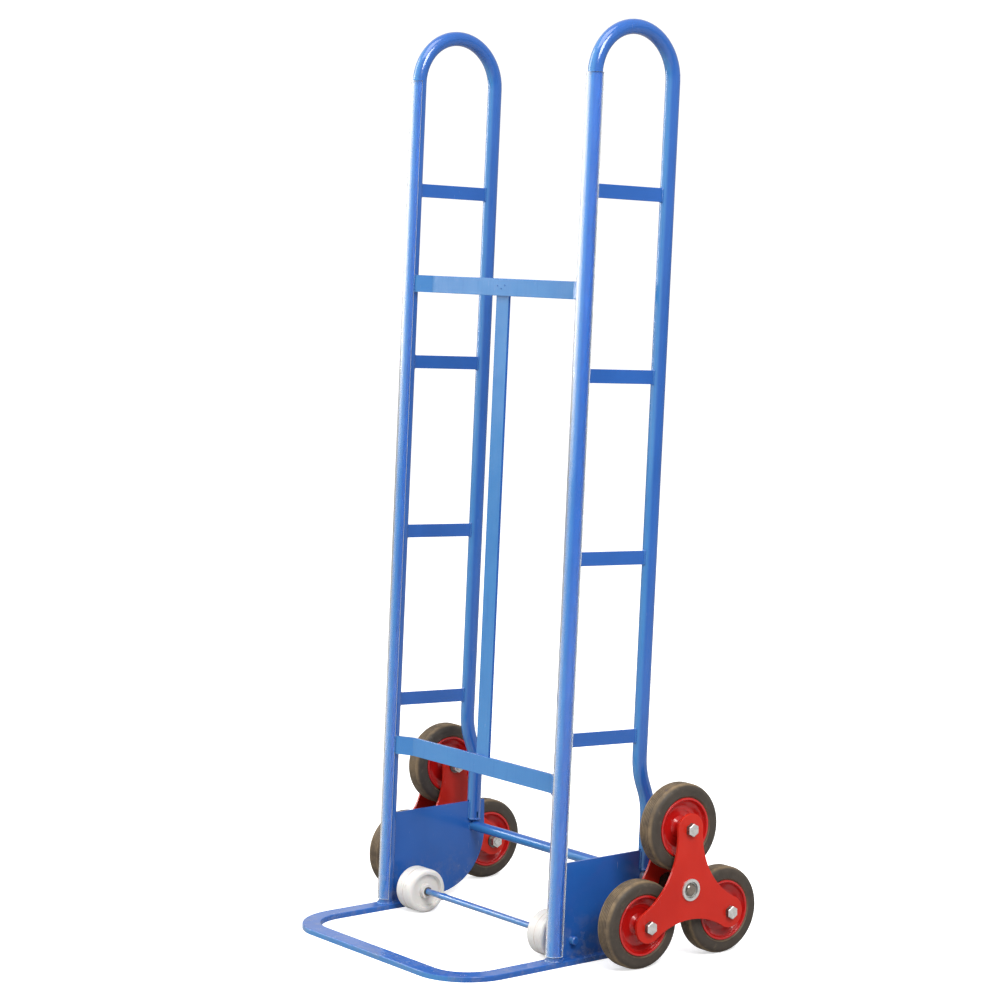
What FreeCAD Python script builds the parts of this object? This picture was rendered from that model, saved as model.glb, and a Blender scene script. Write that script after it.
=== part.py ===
"""Stair-climbing sack truck: a welded tube frame on two three-wheel star clusters and two nose wheels.

Units are millimetres. +Z is up, -Y is the toe side that slides under a load, and +X is to the right of
someone who faces the toe loop. The origin is on the floor, in the middle of the truck's length and width.
"""
import FreeCAD, Part
import os
import Sketcher
from FreeCAD import Placement, Rotation, Vector

SIZES = [
    ("lean", 3.0, "degrees that the uprights lean back"),
    ("foot_setback", 78.0, "uprights' feet in front of the origin"),
    ("tube_offset", 264.0, "mid-plane to each side's tube axes"),
    ("tube_diameter", 26.9, "frame tube, outside"),
    ("tube_wall", 2.0, "frame tube, wall"),
    ("tube_spacing", 178.0, "front tube axis to rear tube axis, square to the tubes"),
    ("hoop_start", 1585.0, "along the upright, where the top bend begins"),
    ("joggle_top", 370.0, "along the upright, where the rear leg's S bend begins"),
    ("joggle_drop", 115.0, "length of the S bend"),
    ("joggle_shift", 25.3, "how far the S bend carries the rear leg back"),
    ("leg_end", 159.4, "along the upright, where the rear leg ends just above the axle"),
    ("slit_width", 4.4, "slit in the rear leg over the side plate"),
    ("slit_top", 197.5, "along the upright, top of the slit"),
    ("vent_width", 3.6, "vent slot in the rear leg"),
    ("vent_height", 12.0, "vent slot in the rear leg"),
    ("vent_height_mid", 169.0, "along the upright, middle of the vent slot"),
    ("guard_gap", 0.1, "between the tube and the clear guard"),
    ("guard_wall", 2.5, "clear guard"),
    ("guard_bottom", 19.0, "along the upright, guard's lower end"),
    ("guard_top", 1588.0, "along the upright, guard's upper end"),
    ("guard_inner_wrap", 75.0, "degrees from the front to the guard's inner edge"),
    ("guard_outer_wrap", 143.0, "degrees from the front to the guard's outer edge"),
    ("bar_thickness", 5.0, "rungs, crossbars and centre strip"),
    ("bar_edge", 0.8, "rounding on the flat bars' long edges"),
    ("rung_width", 25.0, "rung, flat bar"),
    ("rung_first", 408.0, "along the upright, middle of the lowest rung"),
    ("rung_pitch", 325.0, "between rungs"),
    ("crossbar_face", 14.0, "crossbar's front face behind the front tubes' axes"),
    ("crank_length", 28.0, "sloping part of a crossbar's cranked end"),
    ("crank_tab", 8.0, "straight end of a crossbar beside the tube"),
    ("crank_shift", 1.4, "sideways step that keeps the sloping part as thick as the bar"),
    ("upper_crossbar_width", 32.0, "upper crossbar"),
    ("upper_crossbar_mid", 1207.0, "along the upright"),
    ("lower_crossbar_width", 35.0, "lower crossbar"),
    ("lower_crossbar_mid", 322.0, "along the upright"),
    ("strip_width", 38.0, "centre strip"),
    ("toe_thickness", 10.0, "toe loop"),
    ("toe_half_width", 280.0, "toe loop, outside"),
    ("toe_reach", 230.0, "uprights' feet to the toe loop's front edge"),
    ("toe_arm_width", 35.0, "toe loop's side arms"),
    ("toe_front_width", 35.0, "toe loop's front bar"),
    ("toe_arm_back", 135.0, "uprights' feet to the back ends of the arms"),
    ("toe_outer_corner", 106.0, "radius"),
    ("toe_inner_corner", 71.0, "radius"),
    ("toe_edge", 2.0, "rounding on the toe loop's upper edges"),
    ("plate_thickness", 4.0, "side plates"),
    ("plate_top", 185.0, "height of the side plates' top edge"),
    ("plate_back", 237.0, "uprights' feet to the side plates' back edge"),
    ("plate_corner", 117.0, "radius of the lower back corner"),
    ("nose_radius", 42.0, "nose wheel"),
    ("nose_width", 48.0, "nose wheel"),
    ("nose_offset", 206.0, "mid-plane to the nose wheels"),
    ("nose_setback", 42.0, "uprights' feet back to the nose axle"),
    ("nose_shoulder", 6.0, "rounding of the nose wheel's tread"),
    ("nose_face_radius", 33.0, "nose wheel's dished face"),
    ("nose_face_depth", 8.0, "nose wheel's dished face"),
    ("nose_boss_radius", 13.0, "boss in the dished face"),
    ("nose_bush_radius", 8.5, "steel bush, outside"),
    ("nose_bush_length", 52.0, "steel bush"),
    ("nose_axle_radius", 6.0, "nose axle"),
    ("nose_head_radius", 8.0, "heads of the nose axle"),
    ("nose_head_length", 10.0, "heads of the nose axle"),
    ("nose_head_edge", 3.0, "rounding of the heads"),
    ("running_clearance", 0.05, "radial, bush on axle or bolt"),
    ("fixed_clearance", 0.2, "radial, rod in a plate's hole"),
    ("end_float", 0.5, "axial, beside each turning part"),
    ("axle_radius", 10.0, "main axle"),
    ("axle_half_length", 396.5, "main axle"),
    ("axle_chamfer", 1.5, "ends of the main axle"),
    ("cluster_offset", 358.0, "mid-plane to the clusters' middle planes"),
    ("cluster_radius", 110.0, "main axle to the star wheels' axes"),
    ("star_thickness", 5.0, "star plate"),
    ("star_half_gap", 30.0, "cluster's middle plane to each star plate's inner face"),
    ("star_arm_radius", 29.0, "rounded end of a star arm"),
    ("star_waist_radius", 142.0, "hollow curve between two star arms"),
    ("star_waist_centre", 197.0, "main axle to the centre of a hollow curve"),
    ("star_edge", 0.8, "rounding on the star plates' outer edges"),
    ("hub_radius", 20.0, "cluster hub, outside"),
    ("hub_bore", 15.0, "cluster hub, inside radius"),
    ("hub_proud", 3.0, "cluster hub beyond the star plates' outer faces"),
    ("hub_bush_length", 18.0, "each hub bush"),
    ("hub_bush_outer_end", 32.0, "cluster's middle plane to a hub bush's far end"),
    ("spacer_radius", 13.0, "axle spacer"),
    ("washer_radius", 14.0, "axle washer"),
    ("washer_thickness", 2.0, "axle washer"),
    ("circlip_radius", 12.2, "axle circlip"),
    ("circlip_depth", 0.7, "groove of the axle circlip"),
    ("circlip_thickness", 1.5, "axle circlip"),
    ("wheel_radius", 80.0, "star wheel"),
    ("tyre_half_width", 19.5, "tyre"),
    ("tyre_seat", 52.0, "tyre's inside radius"),
    ("tyre_bead_radius", 55.8, "narrow bead beside the rim's lip"),
    ("tyre_bead_half_width", 16.6, "narrow bead"),
    ("tyre_shoulder", 11.0, "rounding of the tread's edges"),
    ("groove_pitch", 3.9, "between tread grooves"),
    ("groove_width", 0.9, "tread groove"),
    ("groove_depth", 0.8, "tread groove"),
    ("rim_lip_radius", 55.0, "rolled lip of the rim"),
    ("rim_lip_half_width", 19.0, "rim over its lips"),
    ("rim_lip_edge", 1.2, "rounding of the rolled lip"),
    ("rim_wall_radius", 51.2, "inside of the bowl beside the lip"),
    ("rim_knee_radius", 48.6, "where the bowl's wall turns inwards"),
    ("rim_knee_half", 13.0, "where the bowl's wall turns inwards"),
    ("rim_dish_radius", 37.0, "where the bowl meets the web"),
    ("rim_step_radius", 31.0, "pressed step in the web"),
    ("rim_step", 1.0, "height of the pressed step"),
    ("rim_web_half", 3.0, "web"),
    ("rim_hub_radius", 14.0, "hub of the rim, outside"),
    ("rim_hub_half", 28.0, "hub of the rim"),
    ("rim_rounding", 9.0, "curves of the bowl"),
    ("wheel_bush_radius", 10.0, "wheel bush, outside"),
    ("bolt_radius", 7.0, "wheel bolt"),
    ("bolt_hole_radius", 7.25, "bolt hole in the star plates"),
    ("bolt_head_flats", 21.0, "across flats"),
    ("bolt_head_height", 8.8, "wheel bolt"),
    ("bolt_head_chamfer", 0.9, "wheel bolt"),
    ("bolt_tip", 50.0, "cluster's middle plane to the bolt's threaded end"),
    ("bolt_washer_radius", 14.0, "washer under the nut"),
    ("bolt_washer_thickness", 2.5, "washer under the nut"),
    ("nut_height", 11.0, "wheel nut"),
]
SIDES = {"left": -1, "right": 1}
RUNGS = 4
STAR_ARMS = 3
HEXAGON = 6
ARM_ANGLES = {"top": 0, "front": 120, "rear": 240}
# Turn a part made along Z so that its +Z points out of the truck and its +X points up.
OUTWARD = {"left": Rotation(Vector(0, 1, 0), -90), "right": Rotation(Vector(1, 0, 1), 180)}

# Heights and places that follow from the driving sizes.
TUBE_RADIUS = "Sizes.tube_diameter / 2"
TUBE_BORE = "Sizes.tube_diameter / 2 - Sizes.tube_wall"
AXLE_HEIGHT = "Sizes.wheel_radius + Sizes.cluster_radius / 2"
AXLE_BACK = "Sizes.foot_setback + Sizes.toe_reach - Sizes.wheel_radius - Sizes.cluster_radius * sin(60)"
AXLE_FROM_FOOT = f"({AXLE_BACK}) + Sizes.foot_setback"
STAR_OUTER_FACE = "Sizes.star_half_gap + Sizes.star_thickness"

document = FreeCAD.newDocument("StairTruck")
sizes = document.addObject("Spreadsheet::Sheet", "Sizes")
parts = []


def fill_sheet():
    """Write each driving size with its name and meaning."""
    for row, (alias, number, meaning) in enumerate(SIZES, 1):
        sizes.set(f"A{row}", alias)
        sizes.set(f"B{row}", str(number))
        sizes.setAlias(f"B{row}", alias)
        sizes.set(f"C{row}", meaning)
    document.recompute()


def value(expression):
    """Number that an expression over the sheet stands for."""
    return float(sizes.evalExpression(expression))


def new_body(name):
    """Empty body for one sub-part, exported under its own name."""
    body = document.addObject("PartDesign::Body", name)
    body.Label = name
    parts.append(body)
    return body


def origin_feature(body, role):
    """One of the body's own planes or axes."""
    return next(item for item in body.Origin.OriginFeatures if item.Role == role)


def new_sketch(body, plane, lift="0"):
    """Sketch on one of the body's planes, moved along the plane's normal by lift."""
    sketch = body.newObject("Sketcher::SketchObject", body.Label + "_sketch")
    sketch.AttachmentSupport = [(origin_feature(body, plane), "")]
    sketch.MapMode = "FlatFace"
    sketch.setExpression("AttachmentOffset.Base.z", lift)
    return sketch


def bind(sketch, constraint, expression):
    """Add a dimension and tie it to the sheet."""
    index = sketch.addConstraint(constraint)
    sketch.setExpression(f"Constraints[{index}]", expression)


def pin_point(sketch, geometry, point, across, along):
    """Fix one point of the sketch at a place given by two expressions."""
    bind(sketch, Sketcher.Constraint("DistanceX", -1, 1, geometry, point, value(across)), across)
    bind(sketch, Sketcher.Constraint("DistanceY", -1, 1, geometry, point, value(along)), along)


def add_outline(sketch, corners):
    """Closed outline of straight edges through corners, each a pair of expressions."""
    points = [Vector(value(across), value(along), 0) for across, along in corners]
    count = len(points)
    first = sketch.GeometryCount
    for index, point in enumerate(points):
        sketch.addGeometry(Part.LineSegment(point, points[(index + 1) % count]), False)
    for index in range(count):
        following = (index + 1) % count
        sketch.addConstraint(Sketcher.Constraint("Coincident", first + index, 2, first + following, 1))
    for index, (across, along) in enumerate(corners):
        pin_point(sketch, first + index, 1, across, along)


def add_box(sketch, low_across, high_across, low_along, high_along):
    """Rectangle between two pairs of expressions."""
    add_outline(sketch, [
        (low_across, low_along),
        (high_across, low_along),
        (high_across, high_along),
        (low_across, high_along),
    ])


def add_circle(sketch, across, along, radius):
    """Full circle with its centre and radius tied to the sheet."""
    centre = Vector(value(across), value(along), 0)
    index = sketch.addGeometry(Part.Circle(centre, Vector(0, 0, 1), value(radius)), False)
    bind(sketch, Sketcher.Constraint("Radius", index, value(radius)), radius)
    pin_point(sketch, index, 3, across, along)


def pad(body, sketch, length):
    """Solid as high as length on the sketch's positive side."""
    feature = body.newObject("PartDesign::Pad", body.Label + "_pad")
    feature.Profile = sketch
    feature.setExpression("Length", length)
    return feature


def pocket(body, sketch, depth):
    """Cut below the sketch, and make sure that it removed something."""
    document.recompute()
    before = body.Tip.Shape.Volume
    feature = body.newObject("PartDesign::Pocket", body.Label + "_pocket")
    feature.Profile = sketch
    feature.setExpression("Length", depth)
    document.recompute()
    if not feature.Shape.Volume < before:
        raise RuntimeError(body.Label + ": a pocket cuts nothing")
    return feature


def turn(body, sketch):
    """Full turn of the sketch about the body's Z axis."""
    feature = body.newObject("PartDesign::Revolution", body.Label + "_turned")
    feature.Profile = sketch
    feature.ReferenceAxis = (sketch, ["V_Axis"])
    feature.Angle = 360
    return feature


def dress_edges(body, kind, size, wanted):
    """Round ("Fillet") or bevel ("Chamfer") the edges of the body that wanted picks."""
    document.recompute()
    tip = body.Tip
    names = [f"Edge{index}" for index, edge in enumerate(tip.Shape.Edges, 1) if wanted(edge)]
    feature = body.newObject("PartDesign::" + kind, body.Label + "_" + kind.lower())
    feature.Base = (tip, names)
    feature.setExpression("Radius" if kind == "Fillet" else "Size", size)
    return feature


def circle_picker(radius, heights=None):
    """Picks full circles of a radius about Z, at the given heights if there are any."""
    wanted_radius = value(radius)
    wanted_heights = [value(height) for height in heights] if heights else None

    def wanted(edge):
        if not isinstance(edge.Curve, Part.Circle) or abs(edge.Curve.Radius - wanted_radius) > 0.01:
            return False
        height = edge.Curve.Center.z
        return wanted_heights is None or any(abs(height - item) < 0.01 for item in wanted_heights)

    return wanted


def upright_picker(across=None, along=None):
    """Picks straight edges along Z, at the given place if there is one."""

    def wanted(edge):
        box = edge.BoundBox
        if box.XLength > 0.01 or box.YLength > 0.01:
            return False
        if across is not None and abs(abs(box.Center.x) - value(across)) > 0.01:
            return False
        return along is None or abs(box.Center.y - value(along)) < 0.01

    return wanted


def place(item, across="0", back="0", height="0"):
    """Tie the item's position to the sheet."""
    item.setExpression("Placement.Base.x", across)
    item.setExpression("Placement.Base.y", back)
    item.setExpression("Placement.Base.z", height)


def place_on_upright(item, across="0"):
    """Put an item drawn in the leaning frame, Z along the uprights, at the uprights' feet."""
    item.Placement = Placement(Vector(0, 0, 0), Rotation(Vector(-1, 0, 0), value("Sizes.lean")))
    item.setExpression("Placement.Rotation.Angle", "Sizes.lean")
    place(item, across, "-Sizes.foot_setback")


def place_on_axis(item, side, across, back="0", height="0"):
    """Put an item turned about Z on a cross axis, with +Z out of the truck."""
    item.Placement = Placement(Vector(0, 0, 0), OUTWARD[side])
    place(item, f"{SIDES[side]} * ({across})", back, height)


def tube_across(side):
    """Sideways place of one side's tubes."""
    return f"{SIDES[side]} * Sizes.tube_offset"


def add_tube_section(sketch):
    """Ring of the frame tube's section about the sketch's origin."""
    add_circle(sketch, "0", "0", TUBE_RADIUS)
    add_circle(sketch, "0", "0", TUBE_BORE)


def make_upright(side):
    """Front tube, cut level at its foot to stand on the toe loop."""
    body = new_body(f"{side}_upright")
    section = new_sketch(body, "XY_Plane")
    add_tube_section(section)
    pad(body, section, "Sizes.hoop_start")
    foot = new_sketch(body, "YZ_Plane", "Sizes.tube_diameter")
    corners = []
    for distance in ("-Sizes.tube_diameter", "Sizes.tube_diameter"):
        level = f"(Sizes.toe_thickness + ({distance}) * sin(Sizes.lean)) / cos(Sizes.lean)"
        corners.append((distance, level))
    corners.append(("Sizes.tube_diameter", "-Sizes.tube_diameter"))
    corners.append(("-Sizes.tube_diameter", "-Sizes.tube_diameter"))
    add_outline(foot, corners)
    pocket(body, foot, "2 * Sizes.tube_diameter")
    place_on_upright(body, tube_across(side))


def add_leg_path(sketch):
    """Path of the hoop tube: over the top, down the rear leg, through the S bend to the axle."""
    spacing = value("Sizes.tube_spacing")
    start = value("Sizes.hoop_start")
    top = value("Sizes.joggle_top")
    drop = value("Sizes.joggle_drop")
    shift = value("Sizes.joggle_shift")
    bend = (drop ** 2 + shift ** 2) / (4 * shift)
    leg_top = Vector(spacing, start, 0)
    bend_top = Vector(spacing, top, 0)
    middle = Vector(spacing + shift / 2, top - drop / 2, 0)
    bend_end = Vector(spacing + shift, top - drop, 0)
    upper_centre = bend_top + Vector(bend, 0, 0)
    lower_centre = bend_end - Vector(bend, 0, 0)
    upper_middle = upper_centre + (bend_top + middle - upper_centre * 2).normalize() * bend
    lower_middle = lower_centre + (middle + bend_end - lower_centre * 2).normalize() * bend
    crown = Vector(spacing / 2, start + spacing / 2, 0)
    leg_end = Vector(spacing + shift, value("Sizes.leg_end"), 0)
    hoop = sketch.addGeometry(Part.Arc(Vector(0, start, 0), crown, leg_top), False)
    straight = sketch.addGeometry(Part.LineSegment(leg_top, bend_top), False)
    upper_bend = sketch.addGeometry(Part.Arc(bend_top, upper_middle, middle), False)
    lower_bend = sketch.addGeometry(Part.Arc(middle, lower_middle, bend_end), False)
    foot = sketch.addGeometry(Part.LineSegment(bend_end, leg_end), False)
    bind(sketch, Sketcher.Constraint("Radius", hoop, spacing / 2), "Sizes.tube_spacing / 2")
    pin_point(sketch, hoop, 3, "Sizes.tube_spacing / 2", "Sizes.hoop_start")
    # The hoop and the lower bend run clockwise, so their stored starts are their far ends.
    for end in (1, 2):
        bind(sketch, Sketcher.Constraint("DistanceY", -1, 1, hoop, end, start), "Sizes.hoop_start")
    sketch.addConstraint(Sketcher.Constraint("Coincident", straight, 1, hoop, 1))
    pin_point(sketch, straight, 2, "Sizes.tube_spacing", "Sizes.joggle_top")
    sketch.addConstraint(Sketcher.Constraint("Tangent", straight, 2, upper_bend, 1))
    sketch.addConstraint(Sketcher.Constraint("Tangent", upper_bend, 2, lower_bend, 2))
    sketch.addConstraint(Sketcher.Constraint("Tangent", lower_bend, 1, foot, 1))
    sketch.addConstraint(Sketcher.Constraint("Equal", upper_bend, lower_bend))
    shifted = "Sizes.tube_spacing + Sizes.joggle_shift"
    pin_point(sketch, foot, 1, shifted, "Sizes.joggle_top - Sizes.joggle_drop")
    pin_point(sketch, foot, 2, shifted, "Sizes.leg_end")


def make_hoop_tube(side):
    """Top bend and rear leg in one tube, slit at its lower end for the side plate."""
    body = new_body(f"{side}_hoop_tube")
    path = new_sketch(body, "YZ_Plane")
    add_leg_path(path)
    section = new_sketch(body, "XY_Plane", "Sizes.hoop_start")
    add_tube_section(section)
    sweep = body.newObject("PartDesign::AdditivePipe", body.Label + "_sweep")
    sweep.Profile = section
    sweep.Spine = path
    slit = new_sketch(body, "YZ_Plane", "Sizes.slit_width / 2")
    leg = "Sizes.tube_spacing + Sizes.joggle_shift"
    add_box(slit, f"{leg} - Sizes.tube_diameter", f"{leg} + Sizes.tube_diameter", "Sizes.leg_end - 5",
            "Sizes.slit_top")
    pocket(body, slit, "Sizes.slit_width")
    vent = new_sketch(body, "YZ_Plane", "0" if side == "right" else "Sizes.tube_diameter")
    add_box(vent, f"{leg} - Sizes.vent_width / 2", f"{leg} + Sizes.vent_width / 2",
            "Sizes.vent_height_mid - Sizes.vent_height / 2", "Sizes.vent_height_mid + Sizes.vent_height / 2")
    pocket(body, vent, "Sizes.tube_diameter")
    place_on_upright(body, tube_across(side))


def make_guard(side):
    """Clear channel pushed over a front upright, wrapping further round its outer side."""
    name = f"{side}_upright_guard"
    shell = document.addObject("Part::Cylinder", name + "_shell")
    shell.setExpression("Radius", f"{TUBE_RADIUS} + Sizes.guard_gap + Sizes.guard_wall")
    shell.setExpression("Height", "Sizes.guard_top - Sizes.guard_bottom")
    shell.setExpression("Angle", "Sizes.guard_inner_wrap + Sizes.guard_outer_wrap")
    start = "270 - Sizes.guard_inner_wrap" if side == "right" else "270 - Sizes.guard_outer_wrap"
    shell.Placement = Placement(Vector(0, 0, 0), Rotation(Vector(0, 0, 1), value(start)))
    place(shell, height="Sizes.guard_bottom")
    bore = document.addObject("Part::Cylinder", name + "_bore")
    bore.setExpression("Radius", f"{TUBE_RADIUS} + Sizes.guard_gap")
    bore.setExpression("Height", "Sizes.guard_top + Sizes.guard_bottom")
    guard = document.addObject("Part::Cut", name)
    guard.Label = name
    guard.Base = shell
    guard.Tool = bore
    place_on_upright(guard, tube_across(side))
    parts.append(guard)


def make_rung(side, number):
    """Flat bar between a side's front and rear tubes."""
    body = new_body(f"{side}_rung_{number + 1}")
    face = new_sketch(body, "YZ_Plane", "-Sizes.bar_thickness / 2")
    middle = f"Sizes.rung_first + {number} * Sizes.rung_pitch"
    add_box(face, TUBE_RADIUS, f"Sizes.tube_spacing - {TUBE_RADIUS}", f"{middle} - Sizes.rung_width / 2",
            f"{middle} + Sizes.rung_width / 2")
    pad(body, face, "Sizes.bar_thickness")
    dress_edges(body, "Fillet", "Sizes.bar_edge", lambda edge: edge.BoundBox.YLength > 100)
    place_on_upright(body, tube_across(side))


def make_crossbar(level):
    """Flat bar behind the front tubes, cranked forward at both ends to meet their inner sides."""
    body = new_body(f"{level}_crossbar")
    width = f"Sizes.{level}_crossbar_width"
    profile = new_sketch(body, "XY_Plane", f"Sizes.{level}_crossbar_mid - {width} / 2")
    end = f"Sizes.tube_offset - {TUBE_RADIUS}"
    bend = f"{end} - Sizes.crank_tab"
    inner = f"{bend} - Sizes.crank_length"
    right_half = [
        (inner, "Sizes.crossbar_face"),
        (bend, "-Sizes.bar_thickness / 2"),
        (end, "-Sizes.bar_thickness / 2"),
        (end, "Sizes.bar_thickness / 2"),
        (f"{bend} + Sizes.crank_shift", "Sizes.bar_thickness / 2"),
        (f"{inner} + Sizes.crank_shift", "Sizes.crossbar_face + Sizes.bar_thickness"),
    ]
    left_half = [(f"-({across})", along) for across, along in reversed(right_half)]
    add_outline(profile, right_half + left_half)
    pad(body, profile, width)
    dress_edges(body, "Fillet", "Sizes.bar_edge", lambda edge: edge.BoundBox.XLength > 400)
    place_on_upright(body)


def make_centre_strip():
    """Upright flat bar behind the two crossbars."""
    body = new_body("centre_strip")
    low = "Sizes.lower_crossbar_mid - Sizes.lower_crossbar_width / 2 + 2"
    high = "Sizes.upper_crossbar_mid + Sizes.upper_crossbar_width / 2 - 2"
    section = new_sketch(body, "XY_Plane", low)
    front = "Sizes.crossbar_face + Sizes.bar_thickness"
    half = "Sizes.strip_width / 2"
    add_box(section, f"-{half}", half, front, f"{front} + Sizes.bar_thickness")
    pad(body, section, f"({high}) - ({low})")
    dress_edges(body, "Fillet", "Sizes.bar_edge", upright_picker())
    place_on_upright(body)


def make_toe_loop():
    """Flat U of bar on the floor, with round front corners."""
    body = new_body("toe_loop")
    outside = new_sketch(body, "XY_Plane")
    half = "Sizes.toe_half_width"
    add_box(outside, f"-{half}", half, "-Sizes.toe_reach", "Sizes.toe_arm_back")
    pad(body, outside, "Sizes.toe_thickness")
    inside = new_sketch(body, "XY_Plane", "Sizes.toe_thickness")
    inner_half = f"{half} - Sizes.toe_arm_width"
    inner_front = "Sizes.toe_front_width - Sizes.toe_reach"
    add_box(inside, f"-({inner_half})", inner_half, inner_front, "Sizes.toe_arm_back + 5")
    pocket(body, inside, "Sizes.toe_thickness")
    outer_corners = upright_picker(half, "-Sizes.toe_reach")
    dress_edges(body, "Fillet", "Sizes.toe_outer_corner", outer_corners)
    dress_edges(body, "Fillet", "Sizes.toe_inner_corner", upright_picker(inner_half, inner_front))

    def upper_rim(edge):
        box = edge.BoundBox
        at_back = box.YLength < 0.01 and abs(box.YMin - value("Sizes.toe_arm_back")) < 0.01
        return box.ZMin > value("Sizes.toe_thickness") - 0.01 and not at_back

    dress_edges(body, "Fillet", "Sizes.toe_edge", upper_rim)
    place(body, back="-Sizes.foot_setback")


def make_side_plate(side):
    """Sheet between the front and rear tubes, drilled for the main axle and the nose axle."""
    body = new_body(f"{side}_side_plate")
    face = new_sketch(body, "YZ_Plane", "-Sizes.plate_thickness / 2")

    def tube_back(height):
        return f"{TUBE_RADIUS} / cos(Sizes.lean) + ({height}) * tan(Sizes.lean)"

    add_outline(face, [
        (tube_back("Sizes.toe_thickness"), "Sizes.toe_thickness"),
        ("Sizes.plate_back", "Sizes.toe_thickness"),
        ("Sizes.plate_back", "Sizes.plate_top"),
        (tube_back("Sizes.plate_top"), "Sizes.plate_top"),
    ])
    pad(body, face, "Sizes.plate_thickness")

    def lower_back(edge):
        box = edge.BoundBox
        at_back = abs(box.Center.y - value("Sizes.plate_back")) < 0.01
        return at_back and box.ZMax < value("Sizes.toe_thickness") + 0.01

    dress_edges(body, "Fillet", "Sizes.plate_corner", lower_back)
    holes = new_sketch(body, "YZ_Plane", "Sizes.plate_thickness / 2")
    add_circle(holes, AXLE_FROM_FOOT, AXLE_HEIGHT, "Sizes.axle_radius + Sizes.fixed_clearance")
    add_circle(holes, "Sizes.nose_setback", "Sizes.nose_radius",
               "Sizes.nose_axle_radius + Sizes.fixed_clearance")
    pocket(body, holes, "Sizes.plate_thickness")
    place(body, tube_across(side), "-Sizes.foot_setback")


def place_on_nose_axle(item, side, across):
    """Put a turned item on the nose axle."""
    place_on_axis(item, side, across, "Sizes.nose_setback - Sizes.foot_setback", "Sizes.nose_radius")


def place_on_main_axle(item, side, across):
    """Put a turned item on the main axle."""
    place_on_axis(item, side, across, AXLE_BACK, AXLE_HEIGHT)


def make_nose_axle():
    """Rod through both side plates with a round head outside each."""
    body = new_body("nose_axle")
    profile = new_sketch(body, "XZ_Plane")
    under_head = "Sizes.tube_offset + Sizes.plate_thickness / 2"
    end = f"{under_head} + Sizes.nose_head_length"
    upper = [
        ("Sizes.nose_axle_radius", under_head),
        ("Sizes.nose_head_radius", under_head),
        ("Sizes.nose_head_radius", end),
        ("0", end),
    ]
    lower = [(across, f"-({along})") for across, along in reversed(upper)]
    add_outline(profile, upper + lower)
    turn(body, profile)
    heads = circle_picker("Sizes.nose_head_radius", [end, f"-({end})"])
    dress_edges(body, "Fillet", "Sizes.nose_head_edge", heads)
    place_on_nose_axle(body, "right", "0")


def make_nose_wheel(side):
    """Nylon wheel with a dished face and a boss on both sides."""
    body = new_body(f"{side}_nose_wheel")
    profile = new_sketch(body, "XZ_Plane")
    half = "Sizes.nose_width / 2"
    floor = f"{half} - Sizes.nose_face_depth"
    upper = [
        ("Sizes.nose_bush_radius", half),
        ("Sizes.nose_boss_radius", half),
        ("Sizes.nose_boss_radius + 1", floor),
        ("Sizes.nose_face_radius - 3", floor),
        ("Sizes.nose_face_radius", half),
        ("Sizes.nose_radius", half),
    ]
    lower = [(across, f"-({along})") for across, along in reversed(upper)]
    add_outline(profile, upper + lower)
    turn(body, profile)
    dress_edges(body, "Fillet", "Sizes.nose_shoulder", circle_picker("Sizes.nose_radius"))
    place_on_nose_axle(body, side, "Sizes.nose_offset")


def make_ring(name, inner, outer, spans):
    """Turned rings with one bore and one outside, one for each span along the axis."""
    body = new_body(name)
    profile = new_sketch(body, "XZ_Plane")
    for low, high in spans:
        add_box(profile, inner, outer, low, high)
    turn(body, profile)
    return body


def both_ends(low, high):
    """The same span on both sides of the mid-plane."""
    return [(low, high), (f"-({high})", f"-({low})")]


def make_nose_bush(side):
    """Steel bush pressed into the nose wheel."""
    half = "Sizes.nose_bush_length / 2"
    bore = "Sizes.nose_axle_radius + Sizes.running_clearance"
    body = make_ring(f"{side}_nose_bush", bore, "Sizes.nose_bush_radius", [(f"-{half}", half)])
    place_on_nose_axle(body, side, "Sizes.nose_offset")


# Places along the main axle, from the truck's mid-plane outwards.
BUSH_INNER_END = "Sizes.cluster_offset - Sizes.hub_bush_outer_end - Sizes.star_thickness + Sizes.hub_proud"
BUSH_OUTER_END = "Sizes.cluster_offset + Sizes.hub_bush_outer_end"
WASHER_START = f"{BUSH_OUTER_END} + Sizes.end_float"
CIRCLIP_START = f"{WASHER_START} + Sizes.washer_thickness"
CIRCLIP_END = f"{CIRCLIP_START} + Sizes.circlip_thickness"


def make_main_axle():
    """Round bar through both side plates and both clusters, with a circlip groove near each end."""
    body = new_body("main_axle")
    profile = new_sketch(body, "XZ_Plane")
    groove_radius = "Sizes.axle_radius - Sizes.circlip_depth"
    upper = [
        ("Sizes.axle_radius", CIRCLIP_START),
        (groove_radius, CIRCLIP_START),
        (groove_radius, CIRCLIP_END),
        ("Sizes.axle_radius", CIRCLIP_END),
        ("Sizes.axle_radius", "Sizes.axle_half_length - Sizes.axle_chamfer"),
        ("Sizes.axle_radius - Sizes.axle_chamfer", "Sizes.axle_half_length"),
        ("0", "Sizes.axle_half_length"),
    ]
    lower = [(across, f"-({along})") for across, along in reversed(upper)]
    add_outline(profile, upper + lower)
    turn(body, profile)
    place_on_main_axle(body, "right", "0")


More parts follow.
